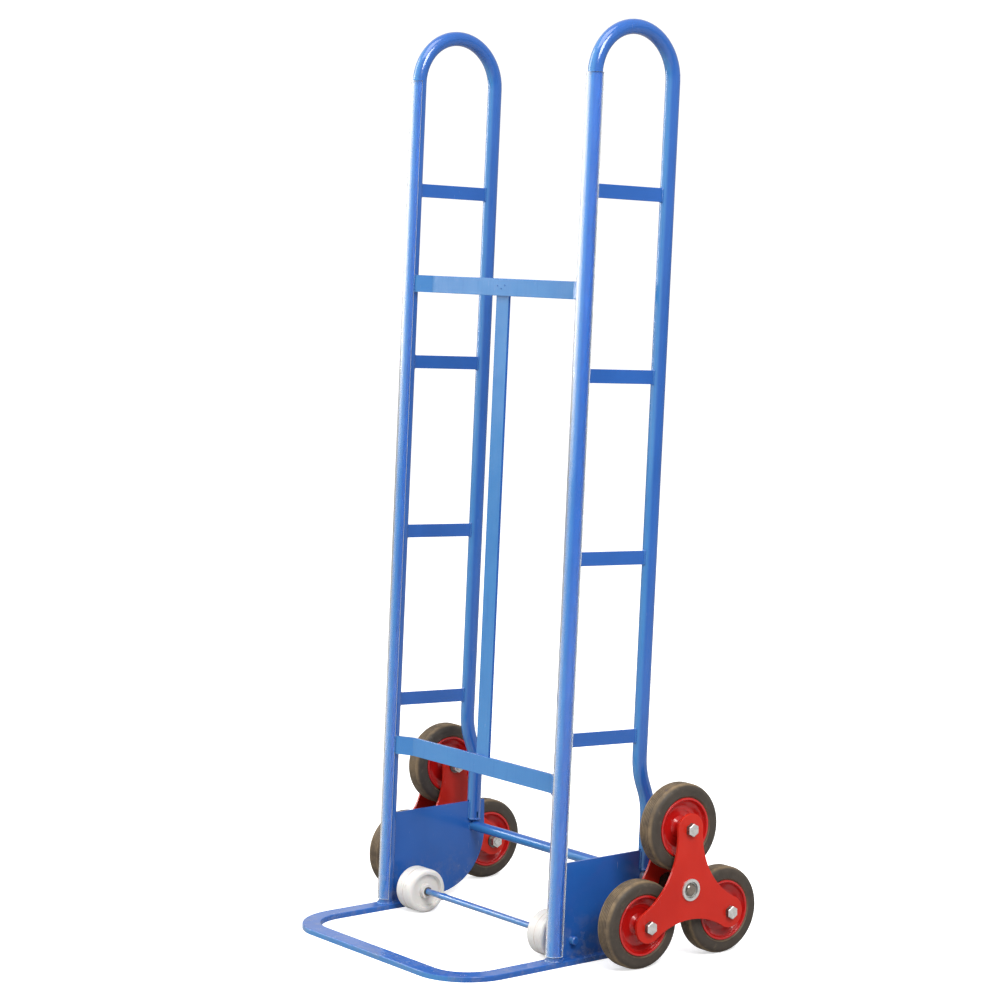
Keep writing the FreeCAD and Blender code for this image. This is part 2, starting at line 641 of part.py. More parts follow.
def make_axle_fittings():
    """Spacers, washers and circlips, one of each at both ends of the main axle."""
    plate_face = "Sizes.tube_offset + Sizes.plate_thickness / 2"
    spacer_end = f"{BUSH_INNER_END} - Sizes.end_float"
    bore = "Sizes.axle_radius + Sizes.fixed_clearance"
    groove_radius = "Sizes.axle_radius - Sizes.circlip_depth"
    clips = both_ends(CIRCLIP_START, CIRCLIP_END)
    rings = [
        make_ring("axle_spacers", bore, "Sizes.spacer_radius", both_ends(plate_face, spacer_end)),
        make_ring("axle_washers", bore, "Sizes.washer_radius", both_ends(WASHER_START, CIRCLIP_START)),
        make_ring("axle_circlips", groove_radius, "Sizes.circlip_radius", clips),
    ]
    for ring in rings:
        place_on_main_axle(ring, "right", "0")


def arm_point(angle, radius):
    """Sketch place at a radius along a direction, 0 degrees being up."""
    return f"{radius} * cos({angle})", f"{radius} * sin({angle})"


def add_star_outline(sketch):
    """Three rounded arms joined by three hollow curves, all meeting smoothly."""
    reach = value("Sizes.cluster_radius")
    arm = value("Sizes.star_arm_radius")
    waist = value("Sizes.star_waist_radius")
    away = value("Sizes.star_waist_centre")

    def direction(angle):
        return Rotation(Vector(0, 0, 1), angle).multVec(Vector(1, 0, 0))

    arms = []
    waists = []
    for number in range(STAR_ARMS):
        angle = 360 / STAR_ARMS * number
        half_pitch = 180 / STAR_ARMS
        tip = direction(angle) * reach
        before = direction(angle - half_pitch) * away
        after = direction(angle + half_pitch) * away
        start = tip + (before - tip).normalize() * arm
        end = tip + (after - tip).normalize() * arm
        next_tip = direction(angle + 2 * half_pitch) * reach
        waist_end = after + (next_tip - after).normalize() * waist
        waist_middle = after - direction(angle + half_pitch) * waist
        arms.append(sketch.addGeometry(Part.Arc(start, tip + direction(angle) * arm, end), False))
        waists.append(sketch.addGeometry(Part.Arc(end, waist_middle, waist_end), False))
    for number in range(STAR_ARMS):
        across, along = arm_point(360 // STAR_ARMS * number, "Sizes.cluster_radius")
        pin_point(sketch, arms[number], 3, across, along)
        bind(sketch, Sketcher.Constraint("Radius", arms[number], arm), "Sizes.star_arm_radius")
        bind(sketch, Sketcher.Constraint("Radius", waists[number], waist), "Sizes.star_waist_radius")
        following = arms[(number + 1) % STAR_ARMS]
        # The hollow curve runs clockwise, so its stored start is the next arm's start.
        sketch.addConstraint(Sketcher.Constraint("Tangent", arms[number], 2, waists[number], 2))
        sketch.addConstraint(Sketcher.Constraint("Tangent", waists[number], 1, following, 1))


def make_star_plate(side, layer):
    """Star-shaped plate with a hole for the hub and one for each wheel bolt."""
    body = new_body(f"{side}_{layer}_star_plate")
    low = "Sizes.star_half_gap" if layer == "outer" else f"-({STAR_OUTER_FACE})"
    outline = new_sketch(body, "XY_Plane", low)
    add_star_outline(outline)
    pad(body, outline, "Sizes.star_thickness")
    holes = new_sketch(body, "XY_Plane", f"{low} + Sizes.star_thickness")
    add_circle(holes, "0", "0", "Sizes.hub_radius")
    for number in range(STAR_ARMS):
        across, along = arm_point(360 // STAR_ARMS * number, "Sizes.cluster_radius")
        add_circle(holes, across, along, "Sizes.bolt_hole_radius")
    pocket(body, holes, "Sizes.star_thickness")
    radii = (value("Sizes.star_waist_radius"), value("Sizes.star_arm_radius"))
    outer_height = value(f"{low} + Sizes.star_thickness" if layer == "outer" else low)

    def outer_rim(edge):
        on_face = abs(edge.BoundBox.Center.z - outer_height) < 0.01 and edge.BoundBox.ZLength < 0.01
        return on_face and any(abs(edge.Curve.Radius - radius) < 0.01 for radius in radii)

    dress_edges(body, "Fillet", "Sizes.star_edge", outer_rim)
    place_on_main_axle(body, side, "Sizes.cluster_offset")


def make_cluster_hub(side):
    """Tube through both star plates and the bushes inside its ends."""
    end = f"{STAR_OUTER_FACE} + Sizes.hub_proud"
    tube = make_ring(f"{side}_cluster_hub", "Sizes.hub_bore", "Sizes.hub_radius", [(f"-({end})", end)])
    inner_end = f"({BUSH_INNER_END}) - Sizes.cluster_offset"
    spans = [
        ("Sizes.hub_bush_outer_end - Sizes.hub_bush_length", "Sizes.hub_bush_outer_end"),
        (inner_end, f"{inner_end} + Sizes.hub_bush_length"),
    ]
    bore = "Sizes.axle_radius + Sizes.running_clearance"
    bushes = make_ring(f"{side}_hub_bushes", bore, "Sizes.hub_bore", spans)
    for item in (tube, bushes):
        place_on_main_axle(item, side, "Sizes.cluster_offset")


def add_hexagon(sketch, across, along):
    """Hexagon as wide across its flats as a wheel bolt's head."""
    corners = []
    for number in range(HEXAGON):
        angle = 360 // HEXAGON * number
        corner = "Sizes.bolt_head_flats / sqrt(3)"
        corners.append((f"{across} + {corner} * cos({angle})", f"{along} + {corner} * sin({angle})"))
    add_outline(sketch, corners)


def repeat_on_arms(body, features):
    """Repeat features made on the top arm on every arm of the star."""
    pattern = body.newObject("PartDesign::PolarPattern", body.Label + "_arms")
    pattern.Originals = features
    pattern.Axis = (origin_feature(body, "Z_Axis"), [""])
    pattern.Angle = 360
    pattern.Occurrences = STAR_ARMS
    body.Tip = pattern


def make_wheel_bolts(side):
    """Hexagon bolts through both star plates, heads outside."""
    body = new_body(f"{side}_wheel_bolts")
    head = new_sketch(body, "XY_Plane", STAR_OUTER_FACE)
    add_hexagon(head, "Sizes.cluster_radius", "0")
    features = [pad(body, head, "Sizes.bolt_head_height")]
    head_top = value(f"{STAR_OUTER_FACE} + Sizes.bolt_head_height")

    def on_crown(edge):
        return edge.BoundBox.ZMin > head_top - 0.01

    crown = dress_edges(body, "Chamfer", "Sizes.bolt_head_chamfer", on_crown)
    shank = new_sketch(body, "XY_Plane", "-Sizes.bolt_tip")
    add_circle(shank, "Sizes.cluster_radius", "0", "Sizes.bolt_radius")
    features += [crown, pad(body, shank, f"Sizes.bolt_tip + {STAR_OUTER_FACE}")]
    repeat_on_arms(body, features)
    place_on_main_axle(body, side, "Sizes.cluster_offset")


def make_wheel_nuts(side):
    """Washer and hexagon nut on each bolt, against the inner star plate."""
    body = new_body(f"{side}_wheel_nuts")
    washer_low = f"-({STAR_OUTER_FACE}) - Sizes.bolt_washer_thickness"
    washer = new_sketch(body, "XY_Plane", washer_low)
    add_circle(washer, "Sizes.cluster_radius", "0", "Sizes.bolt_washer_radius")
    add_circle(washer, "Sizes.cluster_radius", "0", "Sizes.bolt_radius")
    features = [pad(body, washer, "Sizes.bolt_washer_thickness")]
    nut = new_sketch(body, "XY_Plane", f"{washer_low} - Sizes.nut_height")
    add_hexagon(nut, "Sizes.cluster_radius", "0")
    add_circle(nut, "Sizes.cluster_radius", "0", "Sizes.bolt_radius")
    features.append(pad(body, nut, "Sizes.nut_height"))
    repeat_on_arms(body, features)
    place_on_main_axle(body, side, "Sizes.cluster_offset")


def place_on_arm(item, side, arm):
    """Put a turned item on the axis of one star arm's wheel."""
    angle = ARM_ANGLES[arm]
    back = f"{AXLE_BACK} - Sizes.cluster_radius * sin({angle})"
    height = f"{AXLE_HEIGHT} + Sizes.cluster_radius * cos({angle})"
    place_on_axis(item, side, "Sizes.cluster_offset", back, height)


def make_tyre(side, arm):
    """Solid rubber tyre with fine grooves round its tread."""
    body = new_body(f"{side}_{arm}_tyre")
    profile = new_sketch(body, "XZ_Plane")
    upper = [
        ("Sizes.tyre_seat", "Sizes.tyre_bead_half_width"),
        ("Sizes.tyre_bead_radius", "Sizes.tyre_bead_half_width"),
        ("Sizes.tyre_bead_radius + 2.5", "Sizes.tyre_half_width"),
        ("Sizes.wheel_radius", "Sizes.tyre_half_width"),
    ]
    lower = [(across, f"-({along})") for across, along in reversed(upper)]
    tread = []
    for step in (2, 1, 0, -1, -2):
        top = f"{step} * Sizes.groove_pitch + Sizes.groove_width / 2"
        bottom = f"{step} * Sizes.groove_pitch - Sizes.groove_width / 2"
        tread += [
            ("Sizes.wheel_radius", top),
            ("Sizes.wheel_radius - Sizes.groove_depth", top),
            ("Sizes.wheel_radius - Sizes.groove_depth", bottom),
            ("Sizes.wheel_radius", bottom),
        ]
    add_outline(profile, upper + tread + lower)
    turn(body, profile)
    edges = ["Sizes.tyre_half_width", "-Sizes.tyre_half_width"]
    dress_edges(body, "Fillet", "Sizes.tyre_shoulder", circle_picker("Sizes.wheel_radius", edges))
    place_on_arm(body, side, arm)


def make_rim(side, arm):
    """Pressed rim: a smooth bowl on each side of a stepped web, rolled lips and a hub."""
    body = new_body(f"{side}_{arm}_rim")
    profile = new_sketch(body, "XZ_Plane")
    upper = [
        ("Sizes.wheel_bush_radius", "Sizes.rim_hub_half"),
        ("Sizes.rim_hub_radius", "Sizes.rim_hub_half"),
        ("Sizes.rim_hub_radius", "Sizes.rim_web_half + 4"),
        ("Sizes.rim_hub_radius + 6", "Sizes.rim_web_half"),
        ("Sizes.rim_step_radius", "Sizes.rim_web_half"),
        ("Sizes.rim_step_radius", "Sizes.rim_web_half + Sizes.rim_step"),
        ("Sizes.rim_dish_radius", "Sizes.rim_web_half + Sizes.rim_step"),
        ("Sizes.rim_knee_radius", "Sizes.rim_knee_half"),
        ("Sizes.rim_wall_radius", "Sizes.rim_lip_half_width"),
        ("Sizes.rim_lip_radius", "Sizes.rim_lip_half_width"),
        ("Sizes.rim_lip_radius", "Sizes.tyre_bead_half_width"),
        ("Sizes.tyre_seat", "Sizes.tyre_bead_half_width"),
    ]
    lower = [(across, f"-({along})") for across, along in reversed(upper)]
    add_outline(profile, upper + lower)
    turn(body, profile)
    knees = ["Sizes.rim_knee_half", "-Sizes.rim_knee_half"]
    dress_edges(body, "Fillet", "Sizes.rim_rounding", circle_picker("Sizes.rim_knee_radius", knees))
    web = [f"{sign} * (Sizes.rim_web_half + Sizes.rim_step)" for sign in (1, -1)]
    dress_edges(body, "Fillet", "Sizes.rim_rounding", circle_picker("Sizes.rim_dish_radius", web))
    lips = ["Sizes.rim_lip_half_width", "-Sizes.rim_lip_half_width"]
    for radius in ("Sizes.rim_lip_radius", "Sizes.rim_wall_radius"):
        dress_edges(body, "Fillet", "Sizes.rim_lip_edge", circle_picker(radius, lips))
    place_on_arm(body, side, arm)


def make_wheel_bush(side, arm):
    """Bush in the rim's hub, running on the wheel bolt."""
    half = "Sizes.star_half_gap - Sizes.end_float"
    bore = "Sizes.bolt_radius + Sizes.running_clearance"
    body = make_ring(f"{side}_{arm}_wheel_bush", bore, "Sizes.wheel_bush_radius", [(f"-({half})", half)])
    place_on_arm(body, side, arm)


def make_frame():
    """Everything that is welded together, and what is fixed to it."""
    make_toe_loop()
    for side in SIDES:
        make_upright(side)
        make_hoop_tube(side)
        make_guard(side)
        make_side_plate(side)
        for number in range(RUNGS):
            make_rung(side, number)
    for level in ("lower", "upper"):
        make_crossbar(level)
    make_centre_strip()
    make_nose_axle()
    make_main_axle()
    make_axle_fittings()


def make_running_gear():
    """Nose wheels and star clusters."""
    for side in SIDES:
        make_nose_wheel(side)
        make_nose_bush(side)
        for layer in ("outer", "inner"):
            make_star_plate(side, layer)
        make_cluster_hub(side)
        make_wheel_bolts(side)
        make_wheel_nuts(side)
        for arm in ARM_ANGLES:
            make_tyre(side, arm)
            make_rim(side, arm)
            make_wheel_bush(side, arm)


def export_parts():
    """Write one file for each sub-part, after checking every object of the document."""
    document.recompute()
    failed = [item.Label for item in document.Objects if {"Invalid", "Error"} & set(item.State)]
    failed += [item.Label for item in parts if item.Shape.isNull() or not item.Shape.isValid()]
    if failed:
        raise RuntimeError("not built: " + ", ".join(failed))
    os.makedirs("parts", exist_ok=True)
    for item in parts:
        item.Shape.exportStep(f"parts/{item.Label}.step")


fill_sheet()
make_frame()
make_running_gear()
export_parts()
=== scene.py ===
"""Looks of a stair-climbing sack truck: worn blue enamel, red star wheels, clear guards, nylon nose wheels.

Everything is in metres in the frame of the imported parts: +Z up, -Y the toe side, origin on the floor.
"""
import math
import random

import bmesh
import bpy
from mathutils import Matrix, Vector


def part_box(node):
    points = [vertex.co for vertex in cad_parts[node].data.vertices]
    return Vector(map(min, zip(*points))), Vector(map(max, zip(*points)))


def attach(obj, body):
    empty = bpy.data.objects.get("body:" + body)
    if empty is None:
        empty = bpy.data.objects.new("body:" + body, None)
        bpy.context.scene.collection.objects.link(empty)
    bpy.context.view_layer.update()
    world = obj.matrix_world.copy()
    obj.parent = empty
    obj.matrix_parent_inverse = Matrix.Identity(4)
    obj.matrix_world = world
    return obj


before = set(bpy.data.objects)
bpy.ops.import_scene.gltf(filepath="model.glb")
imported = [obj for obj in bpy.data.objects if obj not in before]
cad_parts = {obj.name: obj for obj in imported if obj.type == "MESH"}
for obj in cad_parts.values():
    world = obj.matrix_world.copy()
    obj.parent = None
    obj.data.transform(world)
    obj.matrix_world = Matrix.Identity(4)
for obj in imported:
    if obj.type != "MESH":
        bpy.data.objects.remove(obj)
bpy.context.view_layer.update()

SIDES = ("left", "right")
RUNGS = (1, 2, 3, 4)
LEAN = math.radians(3.0)
UP = Vector((0, math.sin(LEAN), math.cos(LEAN)))
BACK = Vector((0, math.cos(LEAN), -math.sin(LEAN)))
ACROSS = Vector((1, 0, 0))


def distance_across(node):
    """Distance of a part's middle from the middle of the truck, along X."""
    low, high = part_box(node)
    return abs(low.x + high.x) / 2


STAR_WHEEL = distance_across("right_top_tyre")
NOSE_WHEEL = distance_across("right_nose_wheel")
GROOVE_PITCH = 0.0039


# ---------------------------------------------------------------- materials

class Paint:
    """A node material being put together: each call adds a node and returns its output."""

    def __init__(self, name):
        self.material = bpy.data.materials.new(name)
        self.material.use_nodes = True
        self.tree = self.material.node_tree
        self.surface = self.tree.nodes["Principled BSDF"]
        self.place = self.add("ShaderNodeTexCoord").outputs["Object"]

    def feed(self, socket, value):
        if isinstance(value, bpy.types.NodeSocket):
            self.tree.links.new(value, socket)
        else:
            socket.default_value = value

    def add(self, kind, inputs=None, **settings):
        node = self.tree.nodes.new(kind)
        for name, value in settings.items():
            setattr(node, name, value)
        for name, value in (inputs or {}).items():
            self.feed(node.inputs[name], value)
        return node

    def stretched(self, x, y, z):
        """The object's own coordinates, scaled along each axis."""
        return self.add("ShaderNodeMapping", {"Vector": self.place, "Scale": (x, y, z)}).outputs["Vector"]

    def noise(self, scale, detail=2.0, rough=0.5, where=None):
        inputs = {"Vector": where or self.place, "Scale": scale, "Detail": detail, "Roughness": rough}
        return self.add("ShaderNodeTexNoise", inputs).outputs["Fac"]

    def math(self, operation, first, second=0.0):
        node = self.add("ShaderNodeMath", {0: first, 1: second}, operation=operation)
        node.use_clamp = True
        return node.outputs[0]

    def fade(self, value, low, high, to_low=0.0, to_high=1.0):
        """Value mapped from low..high to to_low..to_high, held at the ends."""
        inputs = {"Value": value, "From Min": low, "From Max": high, "To Min": to_low, "To Max": to_high}
        return self.add("ShaderNodeMapRange", inputs, interpolation_type="SMOOTHSTEP").outputs["Result"]

    def mix(self, factor, first, second):
        node = self.add("ShaderNodeMix", {"Factor": factor}, data_type="RGBA")
        self.feed(node.inputs[6], first)
        self.feed(node.inputs[7], second)
        return node.outputs[2]

    def height(self):
        return self.add("ShaderNodeSeparateXYZ", {"Vector": self.place}).outputs["Z"]

    def across(self):
        """Distance from the middle of the truck, along X."""
        x = self.add("ShaderNodeSeparateXYZ", {"Vector": self.place}).outputs["X"]
        return self.add("ShaderNodeMath", {0: x}, operation="ABSOLUTE").outputs[0]

    def lines(self, middle, pitch, reach, width):
        """1 on rings round X, a pitch apart, up to a reach on both sides of the middle one."""
        offset = self.add("ShaderNodeMath", {0: self.across(), 1: middle}, operation="SUBTRACT").outputs[0]
        nearest = self.add("ShaderNodeMath", {0: offset, 1: pitch / 2}, operation="PINGPONG").outputs[0]
        apart = self.add("ShaderNodeMath", {0: offset}, operation="ABSOLUTE").outputs[0]
        on_line = self.fade(nearest, width, width * 0.5)
        return self.math("MULTIPLY", on_line, self.fade(apart, reach + 0.001, reach))

    def facing(self, axis, low, high):
        """0 to 1 as the surface turns towards an axis of the piece's own frame."""
        normal = self.add("ShaderNodeTexCoord").outputs["Normal"]
        towards = self.add("ShaderNodeVectorMath", {0: normal, 1: axis}, operation="DOT_PRODUCT")
        return self.fade(towards.outputs["Value"], low, high)

    def sideways(self, low, high):
        """0 to 1 as the surface turns towards either side, along X."""
        normal = self.add("ShaderNodeTexCoord").outputs["Normal"]
        across = self.add("ShaderNodeVectorMath", {0: normal, 1: (1, 0, 0)}, operation="DOT_PRODUCT")
        part = self.add("ShaderNodeMath", {0: across.outputs["Value"]}, operation="ABSOLUTE").outputs[0]
        return self.fade(part, low, high)

    def edges(self, radius):
        """1 on edges sharper than the radius, 0 on open faces."""
        soft = self.add("ShaderNodeBevel", {"Radius": radius}, samples=6).outputs["Normal"]
        hard = self.add("ShaderNodeNewGeometry").outputs["Normal"]
        same = self.add("ShaderNodeVectorMath", {0: soft, 1: hard}, operation="DOT_PRODUCT").outputs["Value"]
        return self.fade(same, 0.985, 0.90)

    def bump(self, height, distance, strength=1.0, under=None):
        inputs = {"Height": height, "Distance": distance, "Strength": strength}
        if under is not None:
            inputs["Normal"] = under
        return self.add("ShaderNodeBump", inputs).outputs["Normal"]

    def set(self, **values):
        for name, value in values.items():
            self.feed(self.surface.inputs[name.replace("_", " ")], value)
        return self.material


def enamel(name, colour, deep, front_lit=None, wear=0.3, edge_radius=0.0, grime=0.0, bare_beyond=None,
           sheen=1.0, coat=0.25):
    """Glossy brushed-on enamel: uneven colour, orange peel, hairlines, chips, worn edges and floor grime.

    The colour given after deep is painted light: surfaces that face the front take it, as if lit from the
    front. Beyond bare_beyond along X the steel is bare.
    """
    p = Paint(name)
    colour = p.mix(p.fade(p.noise(6.0, 3.0), 0.30, 0.70), (*colour, 1), (*deep, 1))
    # Painted light: front-facing surfaces are painted in the lighter colour, as if lit from the front.
    if front_lit:
        patchy = p.fade(p.noise(9.0, 3.0), 0.25, 0.75, 0.80, 1.0)
        colour = p.mix(p.math("MULTIPLY", p.facing((0, -1, 0), 0.55, 0.98), patchy), colour, (*front_lit, 1))
    runs = p.noise(1.0, 3.0, 0.6, p.stretched(150, 150, 6))
    colour = p.mix(p.fade(runs, 0.50, 0.80, 0.0, 0.22), colour, (*deep, 1))
    hairs = p.fade(p.noise(1.0, 4.0, 0.62, p.stretched(480, 480, 26)), 0.70, 0.735, 0.0, wear)
    pale = tuple(0.45 + 0.5 * channel for channel in deep)
    colour = p.mix(hairs, colour, (*pale, 1))
    chips = p.fade(p.noise(150.0, 4.0, 0.6), 0.745 - 0.025 * wear, 0.765, 0.0, wear)
    if edge_radius:
        broken = p.fade(p.noise(85.0, 4.0, 0.7), 0.53 - 0.06 * wear, 0.62)
        chips = p.math("MAXIMUM", chips, p.math("MULTIPLY", p.edges(edge_radius), broken))
    bare = p.mix(p.noise(240.0, 2.0), (0.13, 0.075, 0.045, 1), (0.33, 0.28, 0.24, 1))
    colour = p.mix(chips, colour, bare)
    if grime:
        low = p.fade(p.height(), 0.12, 0.0, 0.0, grime)
        dust = p.math("MULTIPLY", low, p.fade(p.noise(45.0, 5.0, 0.65), 0.44, 0.66))
        colour = p.mix(dust, colour, (0.26, 0.25, 0.24, 1))
        chips = p.math("MAXIMUM", chips, p.math("MULTIPLY", dust, 0.6))
    metallic = 0.0
    if bare_beyond:
        metallic = p.fade(p.across(), bare_beyond, bare_beyond + 0.002)
        steel = p.mix(p.noise(200.0, 3.0), (0.22, 0.17, 0.13, 1), (0.42, 0.37, 0.32, 1))
        colour = p.mix(metallic, colour, steel)
    gloss = p.fade(p.noise(30.0, 3.0), 0.3, 0.7, 0.17, 0.26)
    rougher = p.math("MULTIPLY", chips, 0.35)
    roughness = p.add("ShaderNodeMath", {0: gloss, 1: rougher}, operation="ADD").outputs[0]
    peel = p.bump(p.noise(420.0, 2.0), 0.00030, 0.22)
    waves = p.bump(p.noise(34.0, 2.0), 0.0012, 0.16, peel)
    dents = p.bump(p.math("SUBTRACT", 1.0, chips), 0.0002, 0.6, waves)
    return p.set(Base_Color=colour, Roughness=roughness, Normal=dents, Coat_Weight=coat * sheen,
                 Coat_Roughness=0.03, Specular_IOR_Level=0.5 * sheen, Metallic=metallic)


def rubber(name):
    """Dark tyre rubber: dusty brown tread with painted shade along its groove lines, cleaner sidewall with
    scuffs.
    """
    p = Paint(name)
    base = p.mix(p.noise(55.0, 4.0, 0.6), (0.040, 0.033, 0.027, 1), (0.080, 0.064, 0.050, 1))
    dust = p.mix(p.noise(140.0, 4.0, 0.7), (0.150, 0.104, 0.058, 1), (0.300, 0.212, 0.122, 1))
    patchy = p.fade(p.noise(34.0, 4.0, 0.65), 0.30, 0.62, 0.35, 1.0)
    colour = p.mix(p.math("MULTIPLY", p.sideways(0.85, 0.45), patchy), base, dust)
    scuffs = p.fade(p.noise(75.0, 5.0, 0.7), 0.55, 0.74, 0.0, 0.45)
    colour = p.mix(scuffs, colour, (0.16, 0.122, 0.080, 1))
    # Painted shade: near-black rings laid on the tread where its groove lines are recessed.
    groove_shade = p.math("MULTIPLY", p.lines(STAR_WHEEL, GROOVE_PITCH, 0.0085, 0.00075), p.sideways(0.5, 0.2))
    colour = p.mix(p.math("MULTIPLY", groove_shade, 0.8), colour, (0.016, 0.012, 0.009, 1))
    roughness = p.fade(p.noise(60.0, 3.0), 0.3, 0.7, 0.45, 0.66)
    grain = p.bump(p.noise(900.0, 3.0, 0.6), 0.0004, 0.45)
    lumps = p.bump(p.noise(110.0, 3.0), 0.0010, 0.25, grain)
    return p.set(Base_Color=colour, Roughness=roughness, Normal=lumps, Specular_IOR_Level=0.28)


def nylon(name):
    """Milky nylon with grey rolling marks and small scuffs."""
    p = Paint(name)
    colour = p.mix(p.noise(40.0, 3.0), (0.74, 0.715, 0.675, 1), (0.82, 0.795, 0.755, 1))
    marks = p.fade(p.noise(1.0, 4.0, 0.65, p.stretched(420, 60, 60)), 0.52, 0.72, 0.0, 0.55)
    colour = p.mix(p.math("MULTIPLY", p.sideways(0.6, 0.2), marks), colour, (0.40, 0.36, 0.31, 1))
    faint = p.fade(p.noise(40.0, 3.0), 0.3, 0.6, 0.25, 0.8)
    seam = p.math("MULTIPLY", p.lines(NOSE_WHEEL, 1.0, 0.002, 0.0012), faint)
    colour = p.mix(p.math("MULTIPLY", seam, p.sideways(0.6, 0.2)), colour, (0.42, 0.33, 0.22, 1))
    specks = p.fade(p.noise(210.0, 4.0, 0.6), 0.66, 0.74, 0.0, 0.5)
    colour = p.mix(specks, colour, (0.48, 0.43, 0.37, 1))
    roughness = p.fade(p.noise(70.0, 3.0), 0.3, 0.7, 0.34, 0.50)
    grain = p.bump(p.noise(500.0, 2.0), 0.0003, 0.25)
    return p.set(Base_Color=colour, Roughness=roughness, Normal=grain, Subsurface_Weight=0.10,
                 Subsurface_Scale=0.004)


def metal(name, bright, dull, rough, stain=0.2, side_shade_and_dirt=0.0, dark_band=None):
    """Plated or oiled steel with blotches, fine turning marks, specks, and painted shade mixed with grime on
    the faces around X.

    Between the two given distances from the middle of the truck, it is nearly black.
    """
    p = Paint(name)
    colour = p.mix(p.fade(p.noise(120.0, 4.0, 0.6), 0.35, 0.65), (*bright, 1), (*dull, 1))
    specks = p.fade(p.noise(330.0, 4.0, 0.65), 0.60, 0.72, 0.0, stain)
    colour = p.mix(specks, colour, (0.10, 0.075, 0.05, 1))
    # Painted shade mixed with grime: faces turned away from X, the sides of heads and nuts, are darkened
    # brown.
    shade_and_dirt = p.math("MULTIPLY", p.sideways(0.75, 0.35), p.fade(p.noise(90.0, 3.0), 0.25, 0.6, 0.6, 1.0))
    colour = p.mix(p.math("MULTIPLY", shade_and_dirt, side_shade_and_dirt), colour, (0.075, 0.052, 0.036, 1))
    # Nearly black between the two given distances along X: washers, shanks and the hub between the star
    # plates.
    if dark_band:
        low, high = dark_band
        near_black = p.mix(p.noise(130.0, 4.0), (0.020, 0.016, 0.013, 1), (0.060, 0.048, 0.038, 1))
        outwards = p.fade(p.across(), low, low + 0.0003)
        inside = p.math("MULTIPLY", outwards, p.fade(p.across(), high, high - 0.0003))
        colour = p.mix(inside, colour, near_black)
    spread = p.fade(p.noise(150.0, 3.0), 0.3, 0.7, rough * 0.75, rough * 1.3)
    fine = p.bump(p.noise(1.0, 2.0, 0.5, p.stretched(2600, 700, 700)), 0.0002, 0.25)
    return p.set(Base_Color=colour, Roughness=spread, Normal=fine, Metallic=0.75)


def clear_plastic(name):
    """Clear plastic with faint haze, long scuffs, dust and a painted highlight band on its front-left flank;
    it lets lamps shine through.
    """
    p = Paint(name)
    haze = p.fade(p.noise(1.0, 4.0, 0.6, p.stretched(260, 260, 9)), 0.50, 0.74, 0.0, 0.5)
    specks = p.fade(p.noise(160.0, 5.0, 0.65), 0.66, 0.72, 0.0, 0.5)
    marks = p.math("MAXIMUM", haze, specks)
    colour = p.mix(marks, (0.96, 0.98, 1.0, 1), (0.88, 0.92, 0.96, 1))
    roughness = p.fade(marks, 0.0, 1.0, 0.02, 0.20)
    waves = p.bump(p.noise(1.0, 2.0, 0.5, p.stretched(60, 60, 7)), 0.0010, 0.15)
    # Painted highlight: on the front-left flank, stronger higher up, the plastic turns whitish and less
    # clear, standing in for a reflected softbox.
    lit_flank = p.facing((-0.60, -0.79, 0.0), 0.38, 0.80)
    higher = p.fade(p.height(), 0.75, 1.30, 0.10, 0.40)
    streaks = p.fade(p.noise(1.0, 3.0, 0.6, p.stretched(170, 170, 5)), 0.3, 0.7, 0.70, 1.0)
    painted_highlight = p.math("MULTIPLY", p.math("MULTIPLY", lit_flank, higher), streaks)
    material = p.set(Base_Color=colour, Roughness=roughness, Normal=waves, IOR=1.42,
                     Transmission_Weight=p.math("SUBTRACT", 1.0, painted_highlight))
    lamps = p.add("ShaderNodeLightPath").outputs["Is Shadow Ray"]
    clear = p.add("ShaderNodeBsdfTransparent", {"Color": (0.90, 0.93, 0.96, 1)}).outputs["BSDF"]
    both = p.add("ShaderNodeMixShader", {0: lamps, 1: p.surface.outputs["BSDF"], 2: clear})
    p.tree.links.new(both.outputs["Shader"], p.tree.nodes["Material Output"].inputs["Surface"])
    return material


def cut_plastic(name):
    """Sawn, whitish edge of the clear plastic."""
    p = Paint(name)
    colour = p.mix(p.noise(180.0, 4.0, 0.6), (0.66, 0.66, 0.60, 1), (0.86, 0.85, 0.76, 1))
    saw = p.bump(p.noise(1.0, 2.0, 0.5, p.stretched(900, 900, 300)), 0.0003, 0.4)
    return p.set(Base_Color=colour, Roughness=p.fade(p.noise(90.0), 0.3, 0.7, 0.35, 0.55), Normal=saw)


BLUE = (0.020, 0.118, 0.440)
DEEP_BLUE = (0.014, 0.098, 0.385)
# Painted light: the lighter blue that front-facing surfaces are painted with.
FRONT_LIT_BLUE = (0.058, 0.245, 0.560)
RED = (0.60, 0.026, 0.014)
DEEP_RED = (0.50, 0.017, 0.009)
blue_tube = enamel("blue_enamel_tube", BLUE, DEEP_BLUE, FRONT_LIT_BLUE, wear=0.25, grime=0.3, coat=0.8)
blue_flat = enamel("blue_enamel_flat", BLUE, DEEP_BLUE, FRONT_LIT_BLUE, wear=0.3, edge_radius=0.0010, grime=0.3)
blue_toe = enamel("blue_enamel_toe", BLUE, DEEP_BLUE, FRONT_LIT_BLUE, wear=0.35, edge_radius=0.0018, grime=0.22)
blue_axle = enamel("blue_enamel_axle", BLUE, DEEP_BLUE, FRONT_LIT_BLUE, wear=0.3, bare_beyond=0.272)
red_star = enamel("red_enamel_star", RED, DEEP_RED, wear=0.15, edge_radius=0.0008, sheen=0.4)
red_rim = enamel("red_enamel_rim", (0.56, 0.012, 0.010), (0.46, 0.008, 0.007), wear=0.1)
tyre_rubber = rubber("tyre_rubber")
white_nylon = nylon("white_nylon")
BRIGHT_ZINC = (0.80, 0.80, 0.78)
SOFT_ZINC = (0.78, 0.78, 0.76)
